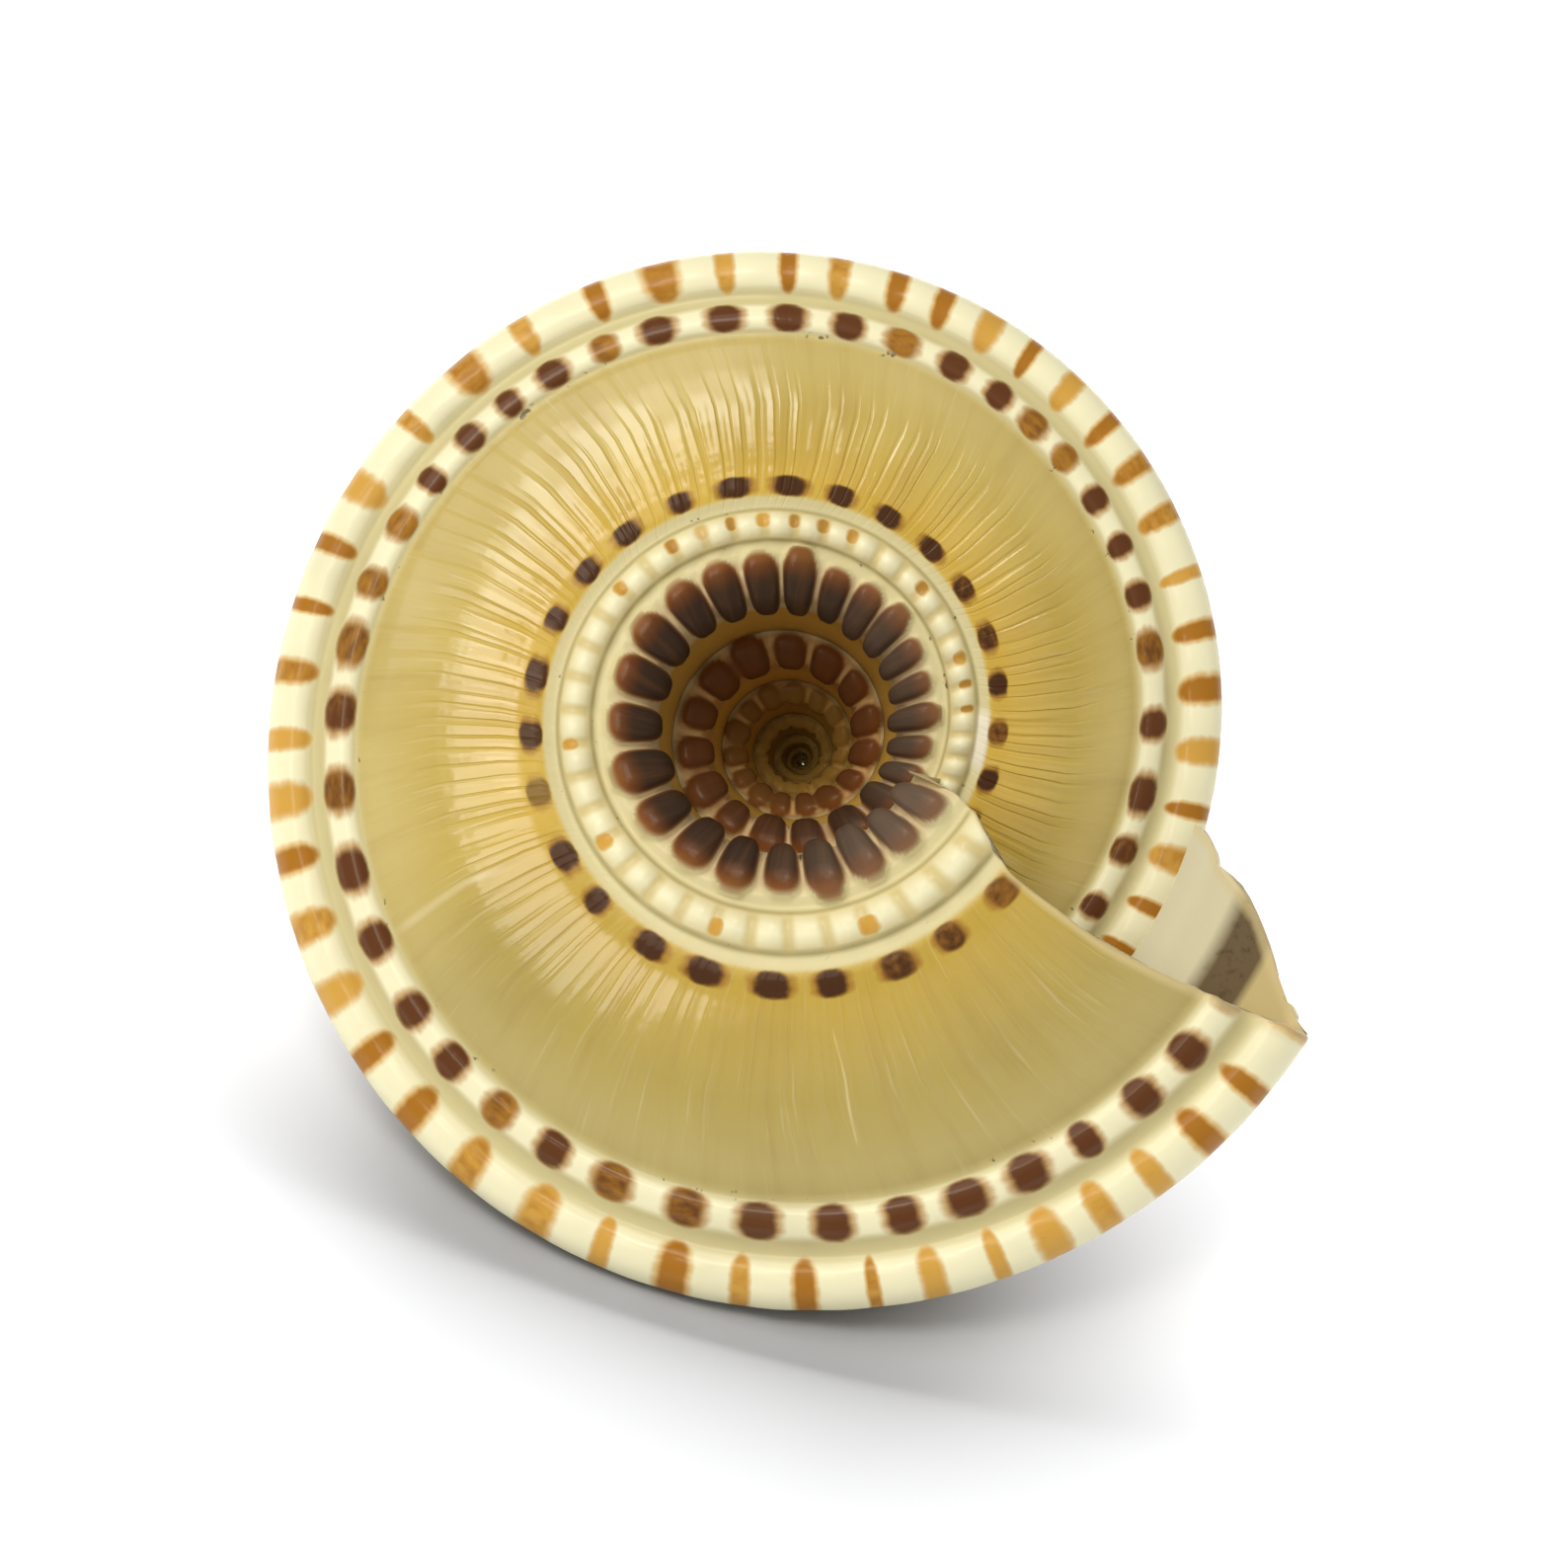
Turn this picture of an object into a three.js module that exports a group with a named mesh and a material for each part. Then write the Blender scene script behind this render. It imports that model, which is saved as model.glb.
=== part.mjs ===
// A sundial shell about 50 mm across: a low cone of flat-sided whorls, wound right-handed round a wide open
// umbilicus, with a thin lip. It lies on the side of its cone, with its base turned up.
//
// The surface is made of rows of points. A row follows one station of the whorl's cross-section back from the
// lip, turn after turn, and faces fill the strip between each row and the next. Where a whorl stands on the one
// before it, both share one row, so that the whole shell is one closed surface. Millimetres, +Z up.
import * as THREE from "three";

// Driving dimensions
const keelRadius = 27.07; // from the axis to the keel at the lip
const turnGrowth = 0.359; // natural log of the growth over the last turn
const earlyGrowth = 0.02; // how much faster each earlier turn grew
const coneRatio = 0.8; // height of the keel above the apex, for each millimetre of radius
const dome = 0.1; // how far the base swells up from the keel to the umbilicus, as a share of the radius
const turnsBuilt = 6.5; // turns of the shell back to the cap at the apex
const lipAngle = -32; // degrees, where the lip stands round the axis
const sutureLip = 20; // degrees that the lip runs forward at the suture
const wallShare = 0.034; // wall thickness, as a share of the whorl's radius
const lipShare = 0.019; // the same at the lip, where the wall is thinnest
const lumenTurns = 1.6; // how far back the hollow runs
const tipShare = 0.35; // height of the cone's tip, as a share of the first turn's height
const teethInLastTurn = 23.8;
const teethInOlderTurn = 15;
const beadsInTurn = 40;
const lean = 37.52; // degrees from the axis to the vertical, as the shell rests on its side
const lowSide = 255.55; // degrees round the axis, the side that lies on the table

const degree = Math.PI / 180;

function smooth(low, high, x) {
  const t = Math.min(1, Math.max(0, (x - low) / (high - low)));
  return t * t * (3 - 2 * t);
}

// The spirals. n is a number of turns back from the lip.
const angleAt = (n) => (lipAngle - 360 * n) * degree;
const sizeAt = (n) => keelRadius * Math.exp(-turnGrowth * n - earlyGrowth * n * (n - 1));
const levelAt = (n) => coneRatio * sizeAt(n);
const offCentre = (n, share, towards) => 1 + share * Math.cos(angleAt(n) - towards * degree);
const oval = (n) => 1 - 0.0095 * Math.cos(2 * (angleAt(n) - 178 * degree));
const keelAt = (n) => sizeAt(n) * offCentre(n, 0.015, 72) * oval(n);
const marginEarly = (n) => 0.03 * smooth(0.95, 1.6, n) + 0.012 * Math.max(0, n - 1);
const marginShare = (n) => 0.329 + 0.02 * Math.min(1, n) - marginEarly(n);
const marginAt = (n) => sizeAt(n) * marginShare(n) * offCentre(n, 0.12, 90);
const wallAt = (n) => (lipShare + (wallShare - lipShare) * smooth(0, 0.2, n)) * sizeAt(n);

// A place on the cross-section: its distance from the axis and its height above the apex
const section = (r, z) => ({ r, z });
const between = (a, b, t) => section(a.r + (b.r - a.r) * t, a.z + (b.z - a.z) * t);

// On the base, share 0 is the outer end of the teeth and share 1 the keel. Rise is a share of the whorl's size.
function onBase(n, share, rise) {
  const inwards = 0.04 * Math.min(1, n) ** 2 * smooth(0.3, 0.7, share) * (1 - smooth(0.85, 1, share));
  const r = marginAt(n) + (keelAt(n) - marginAt(n)) * (share - inwards);
  return section(r, levelAt(n) + (rise + dome * (1 - share * share)) * sizeAt(n));
}

// In the umbilicus, share is of the margin's radius
const inUmbilicus = (n, share, rise) => section(marginAt(n) * share, levelAt(n) + (rise + dome) * sizeAt(n));

// Where the next whorl stands on this one: beside the teeth, and along the keel
const attachment = (n) => onBase(n, 0.012, 0.004);
const suture = (n) => onBase(n, 0.985, -0.004);

// The side of the cone: share 0 is the keel and share 1 the suture. Swell is outwards, a share of the size.
function onSpire(n, share, swell) {
  const top = onBase(n, 1, -0.022);
  const end = suture(n + 1);
  const place = between(top, end, share);
  const out = (swell * sizeAt(n)) / Math.hypot(top.r - end.r, top.z - end.z);
  return section(place.r + (top.z - end.z) * out, place.z - (top.r - end.r) * out);
}

// Teeth and beads as functions that go from 0 in each gap to 1 on each lump
const unevenness = (n) => 0.31 * Math.sin(2 * Math.PI * n) + 0.77 * Math.cos(2 * Math.PI * n);
const lastTurnTeeth = (n) => 0.02 + teethInLastTurn * n + unevenness(n);
const toothPhase = (n) => (n < 1 ? lastTurnTeeth(n) : lastTurnTeeth(1) + teethInOlderTurn * (n - 1));
const lump = (phase) => 0.5 - 0.5 * Math.cos(2 * Math.PI * phase);
const tooth = (n) => Math.sqrt(lump(toothPhase(n)));
const bead = (n) => lump(beadsInTurn * n);

// Stations of the outer surface in order, from the wall of the umbilicus round the base and keel to the suture.
// lip is how many degrees the lip runs forward at that station, and columns the points that a row has in a turn.
const wallTop = (n) => inUmbilicus(n, 0.72 - 0.05 * tooth(n), -0.12);
const umbilicus = [
  { at: (n) => between(attachment(n + 1), wallTop(n), 0.5), lip: 9, columns: "smooth" },
  { at: wallTop, lip: 9, columns: "teeth" },
  { at: (n) => inUmbilicus(n, 0.72 - 0.12 * tooth(n), 0.015 * tooth(n) - 0.085), lip: 9, columns: "teeth" },
  { at: (n) => inUmbilicus(n, 0.74 - 0.08 * tooth(n), -0.055 + 0.035 * tooth(n)), lip: 10, columns: "teeth" },
  { at: (n) => inUmbilicus(n, 0.83, -0.03 + 0.034 * tooth(n)), lip: 10, columns: "teeth" },
  { at: (n) => inUmbilicus(n, 0.95, -0.008 + 0.012 * tooth(n)), lip: 11, columns: "teeth" },
];
const base = [
  { share: 0.045, rise: 0.004, lip: 8, columns: "covered" },
  { share: 0.082, rise: 0.016, lump: 0.006, lip: 5, columns: "beads" },
  { share: 0.12, rise: 0.001, lip: 2, columns: "covered" },
  { share: 0.17, rise: 0.01, lip: 0, columns: "covered" },
  { share: 0.23, rise: 0.005, lip: -1, columns: "covered" },
  { share: 0.42, rise: 0.008, lip: -1.5, columns: "covered" },
  { share: 0.6, rise: 0.01, lip: -1, columns: "covered" },
  { share: 0.73, rise: 0.0, lip: 0.5, columns: "covered" },
  { share: 0.76, rise: 0.014, lip: 0.5, columns: "covered" },
  { share: 0.79, rise: 0.019, lip: 1, columns: "covered" },
  { share: 0.825, rise: 0.012, lip: 1, columns: "covered" },
  { share: 0.855, rise: -0.003, lip: 1, columns: "covered" },
  { share: 0.89, rise: 0.01, lip: 1.5, columns: "covered" },
  { share: 0.94, rise: 0.02, lip: 2, columns: "covered" },
];
const spire = [
  { at: (n) => onBase(n, 1, -0.022), lip: 2, columns: "smooth" },
  { share: 0.07, swell: -0.012, lip: 2.8, columns: "smooth" },
  { share: 0.14, swell: 0.014, lip: 3.5, columns: "smooth" },
  { share: 0.22, swell: -0.006, lip: 4.2, columns: "smooth" },
  { share: 0.3, swell: 0.012, lip: 5.6, columns: "smooth" },
  { share: 0.62, swell: 0.014, lip: 12.6, columns: "smooth" },
  { share: 0.82, swell: -0.004, lip: 15.8, columns: "smooth" },
  { share: 0.9, swell: 0.012, lip: 17.4, columns: "smooth" },
];

// Stations of the hollow, from the foot of the umbilical wall round to the suture
const hollow = [
  { at: (n) => between(attachment(n + 1), wallTop(n), 0.5), out: 1, lip: 9 },
  { at: (n) => inUmbilicus(n, 0.72, -0.12), out: 0.9, down: 0.3, lip: 9 },
  { at: (n) => inUmbilicus(n, 0.85, -0.04), out: 0.3, down: 1, lip: 10 },
  { at: (n) => onBase(n, 0.02, -0.006), down: 1, lip: 9 },
  { at: (n) => onBase(n, 0.14, 0), down: 1, lip: 1.5 },
  { at: (n) => onBase(n, 0.42, 0.008), down: 1, lip: -1.5 },
  { at: (n) => onBase(n, 0.72, 0), down: 1, lip: 0.5 },
  { at: (n) => onBase(n, 0.93, 0.005), out: -0.4, down: 1, lip: 1.8 },
  { at: (n) => onSpire(n, 0.1, -0.012), out: -1.1, down: -0.2, lip: 3 },
  { at: (n) => onSpire(n, 0.4, 0.01), out: -0.65, down: -0.75, lip: 7.7 },
  { at: (n) => onSpire(n, 0.8, 0), out: -0.65, down: -0.75, lip: 15.5 },
];

const points = [];
const faces = [];

function put({ r, z }, n) {
  points.push(new THREE.Vector3(r * Math.cos(angleAt(n)), r * Math.sin(angleAt(n)), z));
  return points.length - 1;
}

// How many points a row of each kind has from the lip to n turns back. The last turn is fine and older ones
// are coarse, like the part of the base that lies under the next whorl.
const fine = 44; // points in the last turn
const coarse = 18; // points in a turn of the covered base
const inHollow = 26; // points in a turn of the hollow
const thinning = 0.7; // how fast points thin out on older turns
const coveredFrom = 1.03; // turns back where the next whorl covers the base
const older = (n) => Math.log(1 + thinning * Math.max(0, n - 1)) / thinning;
const underWhorl = (n) => coarse * Math.max(0, n - coveredFrom);
const pointsBy = {
  smooth: (n) => fine * (Math.min(1, n) + older(n)),
  covered: (n) => fine * Math.min(coveredFrom, n) + underWhorl(n),
  teeth: (n) => (n < 1 ? 4 : 3) * toothPhase(n),
  beads: (n) => 2 * beadsInTurn * Math.min(coveredFrom, n) + underWhorl(n),
  hollow: (n) => inHollow * n,
};

// A row of points from start to end, with a point exactly at each stop on the way
function row(at, kind, start, end, stops = []) {
  const stride = 1 / 2000;
  const room = 1 / 200; // turns kept free on each side of a stop
  const near = (n) => [start, end, ...stops].some((stop) => Math.abs(stop - n) < room);
  const places = [start, ...stops, end];
  for (let n = start; n < end; n += stride) {
    const passed = Math.floor(pointsBy[kind](n)) > Math.floor(pointsBy[kind](n - stride));
    if (passed && !near(n)) places.push(n);
  }
  places.sort((a, b) => a - b);
  return places.map((n) => ({ n, id: put(at(n), n) }));
}

// The part of a row up to some number of turns back, and the same row as the next whorl out meets it
const upTo = (line, n) => line.filter((p) => p.n <= n + 1e-9);
const underNext = (line, start) => line.filter((p) => p.n >= start - 1e-9).map(({ n, id }) => ({ n: n - 1, id }));

// Faces between two rows: the shorter of the two ways across is taken at each step
function strip(left, right) {
  const width = (a, b) => points[a.id].distanceTo(points[b.id]);
  let i = 0;
  let j = 0;
  while (i < left.length - 1 || j < right.length - 1) {
    const toLeft = i < left.length - 1 ? width(left[i + 1], right[j]) : Infinity;
    const toRight = j < right.length - 1 ? width(left[i], right[j + 1]) : Infinity;
    const next = toLeft < toRight ? left[i + 1] : right[j + 1];
    faces.push([left[i].id, next.id, right[j].id]);
    if (toLeft < toRight) i += 1;
    else j += 1;
  }
}
const strips = (rows) => rows.slice(1).forEach((line, k) => strip(rows[k], line));

// Faces that close a loop of points round a middle point, or a last cross-section round the apex
function close(loop, middle) {
  loop.forEach((id, k) => faces.push([loop[(k + 1) % loop.length], id, middle]));
}

const forward = (lip) => -lip / 360;
const wallStart = 1 + forward(umbilicus[0].lip);
const sutureStart = 1 + forward(sutureLip);
const hollowEnd = 1 + lumenTurns;

// The rows of the outer surface
const toothRows = umbilicus.map((s) => row(s.at, s.columns, forward(s.lip), turnsBuilt, [turnsBuilt - 1]));
const attachmentRow = row(attachment, "smooth", forward(10.5), turnsBuilt, [wallStart]);
const baseRows = base.map((s) => {
  const at = (n) => onBase(n, s.share, s.rise + (s.lump ?? 0) * bead(n));
  return row(at, s.columns, forward(s.lip), hollowEnd, [wallStart, sutureStart]);
});
const sutureRow = row(suture, "smooth", forward(2), turnsBuilt, [sutureStart]);
const spireRows = spire.map((s) => {
  const at = s.at ?? ((n) => onSpire(n, s.share, s.swell));
  return row(at, s.columns, forward(s.lip), turnsBuilt, [turnsBuilt - 1]);
});
const wallFoot = underNext(attachmentRow, wallStart);
const sideFoot = underNext(sutureRow, sutureStart);

strips([...toothRows, attachmentRow]);
strips(baseRows);
strip(upTo(attachmentRow, wallStart), upTo(baseRows[0], wallStart));
strip(upTo(baseRows.at(-1), sutureStart), upTo(sutureRow, sutureStart));
strips([sutureRow, ...spireRows]);

// The apex: the first turn closes on a point in the umbilicus and on another at the tip of the cone
const firstTurn = turnsBuilt - 1;
const deepest = put(section(0, levelAt(turnsBuilt) + 0.05), 0);
const tip = put(section(0, levelAt(turnsBuilt) * tipShare), 0);
const beyond = (line, n) => line.filter((p) => p.n >= n - 1e-9);
const innermost = toothRows[0];
const outermost = spireRows.at(-1);
strip(wallFoot, upTo(innermost, firstTurn));
strip([wallFoot.at(-1), { id: deepest }], beyond(innermost, firstTurn).slice(0, 1));
strip([{ id: deepest }], beyond(innermost, firstTurn));
strip(upTo(outermost, firstTurn), sideFoot);
strip(beyond(outermost, firstTurn).slice(0, 1), [sideFoot.at(-1), { id: tip }]);
strip(beyond(outermost, firstTurn), [{ id: tip }]);
const ends = (rows) => rows.map((line) => line.at(-1).id);
const umbilicalEnd = ends([...toothRows, attachmentRow]);
const spireEnd = ends([sutureRow, ...spireRows]);
umbilicalEnd.slice(1).forEach((id, k) => faces.push([deepest, id, umbilicalEnd[k]]));
spireEnd.slice(1).forEach((id, k) => faces.push([tip, id, spireEnd[k]]));

// The hollow, its blind end, and the lip between the outer surface and the hollow
function hollowAt(station) {
  return (n) => {
    const { r, z } = station.at(n);
    return section(r + (station.out ?? 0) * wallAt(n), z - (station.down ?? 0) * wallAt(n));
  };
}
const hollowRows = [
  underNext(baseRows[0], wallStart),
  ...hollow.map((s) => row(hollowAt(s), "hollow", forward(s.lip), lumenTurns)),
  underNext(baseRows.at(-1), sutureStart),
];
strips([...hollowRows].reverse());
const blindEnd = [...ends(baseRows), ...ends(hollowRows.slice(1, -1)).reverse()];
const middle = new THREE.Vector3();
blindEnd.forEach((id) => middle.addScaledVector(points[id], 1 / blindEnd.length));
points.push(middle);
close(blindEnd, points.length - 1);
const starts = (rows) => rows.map((line) => line[0]);
const outerLip = [wallFoot, ...toothRows, attachmentRow, ...baseRows, sutureRow, ...spireRows, sideFoot];
strip(starts(outerLip), starts(hollowRows));

// The shell as it rests: turned so that its low side leads, leant over, and stood on the table
const geometry = new THREE.BufferGeometry().setFromPoints(points);
geometry.setIndex(faces.flat());
geometry.rotateZ((-90 - lowSide) * degree);
geometry.rotateX(lean * degree);
geometry.computeBoundingBox();
const { min, max } = geometry.boundingBox;
geometry.translate(-(min.x + max.x) / 2, -(min.y + max.y) / 2, -min.z);
geometry.computeVertexNormals();

const mother = new THREE.MeshStandardMaterial({ color: 0xcbb795, roughness: 0.35, metalness: 0 });
const shell = new THREE.Mesh(geometry, mother);
shell.name = "shell";

const sundial = new THREE.Group();
sundial.add(shell);
export default sundial;
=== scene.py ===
import math
from functools import reduce
import bpy
import numpy as np
from mathutils import Matrix, Vector


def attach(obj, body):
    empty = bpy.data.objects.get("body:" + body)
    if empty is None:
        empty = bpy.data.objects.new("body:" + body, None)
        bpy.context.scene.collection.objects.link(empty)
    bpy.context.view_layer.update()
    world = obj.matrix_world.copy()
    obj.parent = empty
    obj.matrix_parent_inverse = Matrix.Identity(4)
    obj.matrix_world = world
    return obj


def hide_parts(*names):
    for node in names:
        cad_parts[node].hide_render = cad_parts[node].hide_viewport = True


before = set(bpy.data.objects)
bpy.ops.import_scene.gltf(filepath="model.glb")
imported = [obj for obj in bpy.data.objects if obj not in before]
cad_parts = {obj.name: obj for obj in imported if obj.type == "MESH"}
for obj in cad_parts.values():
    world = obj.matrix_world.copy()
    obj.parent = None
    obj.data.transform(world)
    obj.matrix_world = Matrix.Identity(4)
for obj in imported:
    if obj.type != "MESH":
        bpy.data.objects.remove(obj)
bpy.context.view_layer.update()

rng = np.random.default_rng(7)
bpy.context.scene.view_settings.view_transform = "Standard"

# the shell's form: millimetres in its own frame, axis up, base on top, angles as seen from the base
form = {
    "keelRadius": 27.07,    # axis to keel at the lip
    "turnGrowth": 0.359,    # log of the growth over the last turn
    "earlyGrowth": 0.02,    # each earlier turn grew this much faster
    "coneRatio": 0.8,       # keel's height over the tip for each mm of radius
    "keelLean": (0.015, 72),        # keel further out on one side: share, direction in degrees
    "keelOval": (0.0095, 178),      # and a little oval
    "margin": 0.329,        # edge of the umbilicus, share of the keel's radius
    "marginChange": (0.02, 0.03, 0.012),    # rises over the last turn, then falls at once and slowly
    "marginLean": (0.12, 90),
    "dome": 0.1,            # swelling of the base, share of the radius
    "cordsInwards": 0.04,   # away from the lip the cord and groove stand this much further in
    "turns": 8.0,
    "lipAngle": -32.0,      # degrees
    "lipWall": 0.015,       # wall at the lip, share of the radius
    "wall": 0.032,          # wall further in
    "bendTurns": 0.12,      # the lip's curve straightens out over this much of a turn
    "lipRagged": 0.0007,    # how uneven its edge is, in turns
    "lipRounding": 0.0014,  # how far back it is rounded, in turns
    "toothHeight": 0.036,   # heights of the relief, shares of the radius
    "beadHeight": 0.0105,
    "scarHeight": 0.006,
    "nodeHeight": 0.0016,   # low nodes on the keel, one to each of its spots
    "swellHeight": 0.0010,
    "wrinkleHeight": 0.0004,
    "lean": 37.52,          # degrees from upright
    "lowSide": 255.55,      # degrees, the side that lies on the floor
    "tip": (-1.5086, 12.2560, 0.2854),    # where the axis meets the cone's tip, in the part's frame
    "tipLevel": 0.3594,     # that point's height in the shell's own frame
}
turnBy = math.radians(-90 - form["lowSide"])
rest = np.array(Matrix.Rotation(math.radians(form["lean"]), 3, "X") @ Matrix.Rotation(turnBy, 3, "Z"))


def toFrame(points):
    # shell's own frame in mm -> the part's frame in metres
    return ((np.asarray(points) - (0, 0, form["tipLevel"])) @ rest.T + np.array(form["tip"])) * 0.001


def smooth(low, high, x):
    # 3t^2 - 2t^3, t from 0 at low to 1 at high
    t = np.clip((x - low) / (high - low), 0, 1)
    return t * t * (3 - 2 * t)


# spirals: n counts turns back from the lip, and every size shrinks as exp(-growth * n)
def angleAt(n):
    return np.radians(form["lipAngle"]) - 2 * np.pi * n


def sizeAt(n):
    return form["keelRadius"] * np.exp(-form["turnGrowth"] * n - form["earlyGrowth"] * n * (n - 1))


def leaning(n, share, direction, lobes=1):
    # a cosine round the axis that is largest in one direction, or in two with two lobes
    return share * np.cos(lobes * (angleAt(n) - np.radians(direction)))


def keelAt(n):
    # the spiral, further out on one side and a little oval
    return sizeAt(n) * (1 + leaning(n, *form["keelLean"])) * (1 - leaning(n, *form["keelOval"], lobes=2))


def marginAt(n):
    # a share of the size that rises over the last turn, falls by a smooth step, then with each turn
    rise, fall, slope = form["marginChange"]
    share = form["margin"] + rise * np.minimum(1, n) - fall * smooth(0.95, 1.6, n)
    share = share - slope * np.maximum(0, n - 1)
    return sizeAt(n) * share * (1 + leaning(n, *form["marginLean"]))


def onBase(n, share, rise):
    # share 0 at the teeth's outer end, 1 at the keel; the swelling goes as 1 - share^2
    inwards = form["cordsInwards"] * np.minimum(1, np.abs(n)) ** 2
    inwards = inwards * smooth(0.3, 0.7, share) * (1 - smooth(0.85, 1, share))
    r = marginAt(n) + (keelAt(n) - marginAt(n)) * (share - inwards)
    return r, (form["coneRatio"] + rise + form["dome"] * (1 - share * share)) * sizeAt(n)


def inWell(n, share, rise):
    # share 0 at the axis, 1 at the edge of the umbilicus
    return marginAt(n) * share, (form["coneRatio"] + rise + form["dome"]) * sizeAt(n)


def onSpire(n, share, swell):
    # a straight line from the keel to the suture on the turn before, pushed out by swell
    (topR, topZ), (endR, endZ) = onBase(n, 1.0, -0.022), onBase(n + 1, 0.985, -0.004)
    out = swell * sizeAt(n) / np.hypot(topR - endR, topZ - endZ)
    return (topR + (endR - topR) * share + (topZ - endZ) * out,
            topZ + (endZ - topZ) * share - (topR - endR) * out)


def footOnBase(n, share, rise):
    # where the wall of the umbilicus stands on the turn before; in the first turn it closes on the axis
    r, z = onBase(n + 1, share, rise)
    return r * (1 - smooth(form["turns"] - 1, form["turns"] - 0.7, n)), z


def midWall(n, share, rise):
    # share of the way from the turn before up to the teeth's inner end, in a straight line
    (lowR, lowZ), (highR, highZ) = onBase(n + 1, 0.012, 0.004), inWell(n, 0.72, -0.12)
    return lowR + (highR - lowR) * share, lowZ + (highZ - lowZ) * share


# the section: how a point is placed, its two shares, where it counts across the whorl (-1 foot of the
# umbilicus, 0 outer end of the teeth, 1 keel, 2 suture), how many stations follow it
section = [
    (footOnBase, 0.035, -0.014, -1.06, 1), (footOnBase, 0.008, 0.002, -1.0, 2), (midWall, 0.5, 0, -0.75, 3),
    (inWell, 0.715, -0.13, -0.52, 2), (inWell, 0.72, -0.095, -0.44, 3), (inWell, 0.745, -0.06, -0.36, 4),
    (inWell, 0.80, -0.036, -0.26, 5), (inWell, 0.88, -0.020, -0.16, 5), (inWell, 0.955, -0.008, -0.06, 3),
] + [(onBase, share, rise, share if rise > -0.02 else 1.01, count) for share, rise, count in [
    (0.0, -0.004, 1), (0.016, -0.009, 2), (0.034, -0.003, 2), (0.048, 0.008, 2), (0.084, 0.015, 2),
    (0.120, 0.009, 2), (0.135, -0.001, 1), (0.148, -0.003, 1), (0.165, 0.003, 1), (0.185, 0.007, 2),
    (0.22, 0.007, 1), (0.25, 0.0055, 3), (0.34, 0.007, 3), (0.45, 0.009, 3), (0.57, 0.010, 3),
    (0.67, 0.008, 2), (0.715, 0.003, 1), (0.735, -0.003, 1), (0.748, 0.002, 1), (0.760, 0.012, 2),
    (0.790, 0.0165, 2), (0.820, 0.012, 2), (0.834, 0.002, 1), (0.846, -0.005, 1), (0.862, -0.006, 1),
    (0.878, -0.003, 1), (0.888, 0.006, 2), (0.905, 0.016, 2), (0.935, 0.022, 2), (0.965, 0.019, 2),
    (0.988, 0.007, 2), (1.0, -0.010, 2), (0.998, -0.026, 2),
]] + [(onSpire, share, swell, 1 + share, count) for share, swell, count in [
    (0.035, -0.006, 1), (0.065, -0.012, 1), (0.09, -0.006, 1), (0.11, 0.007, 2), (0.14, 0.013, 2),
    (0.175, 0.008, 1), (0.195, -0.003, 1), (0.22, -0.007, 1), (0.245, 0.001, 1), (0.27, 0.009, 2),
    (0.33, 0.012, 3), (0.50, 0.013, 3), (0.70, 0.010, 2), (0.79, 0.0, 1), (0.815, -0.004, 1),
    (0.84, 0.002, 1), (0.87, 0.011, 2), (0.93, 0.012, 2), (0.98, 0.003, 1), (1.02, -0.012, 0),
]]
sectionAcross = np.array([row[3] for row in section])
# places across the whorl where the hollow side has a station
hollowAcross = [-1.06, -0.8, -0.56, -0.3, -0.08, 0.06, 0.2, 0.4, 0.6, 0.74, 0.86, 0.93,
                1.0, 1.065, 1.2, 1.4, 1.6, 1.815, 1.92, 2.02]
# place across, degrees that the lip runs forward there
lipForward = np.array([
    (-1.06, 17), (-0.5, 15), (-0.3, 13.5), (-0.1, 11.5), (0, 10.5), (0.05, 8), (0.09, 5), (0.14, 1.8),
    (0.2, -0.3), (0.3, -1.2), (0.5, -1.6), (0.7, 0), (0.85, 1), (1, 2), (1.14, 3.5), (1.25, 4.6), (1.39, 7.5),
    (1.55, 11.2), (1.7, 14), (1.82, 15.8), (1.89, 17.2), (2, 20.5)])
# columns along the whorl: how they are shared out from the lip to the tip
columns = {"count": 729, "share": [0, 0.03, 0.54, 0.72, 0.83, 0.90, 1.0], "turns": [0, 0.008, 1, 2, 3, 4, 8]}


def lipTurns(across):
    # how far the lip runs forward, in turns
    return np.interp(across, lipForward[:, 0], lipForward[:, 1]) / 360


def curveWeights(points, counts):
    # centripetal Catmull-Rom: a station is a weighted sum of the four section points around it
    eye = np.eye(len(points))
    ends = np.vstack([2 * eye[0] - eye[1], eye, 2 * eye[-1] - eye[-2]])
    steps = np.linalg.norm(np.diff(ends @ points, axis=0), axis=1) ** 0.5
    knots = np.concatenate([[0], np.cumsum(steps)])
    span = np.concatenate([np.full(c, i) for i, c in enumerate(counts)] + [[len(points) - 2]])
    share = np.concatenate([np.arange(c) / c for c in counts] + [[1.0]])
    t0, t1, t2, t3 = (knots[span + k][:, None] for k in range(4))
    e0, e1, e2, e3 = (ends[span + k] for k in range(4))
    t = t1 + (t2 - t1) * share[:, None]

    def mixed(a, b, start, end):
        return (end - t) / (end - start) * a + (t - start) / (end - start) * b

    a1, a2, a3 = mixed(e0, e1, t0, t1), mixed(e1, e2, t1, t2), mixed(e2, e3, t2, t3)
    return mixed(mixed(a1, a2, t0, t2), mixed(a2, a3, t1, t3), t1, t2)


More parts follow.
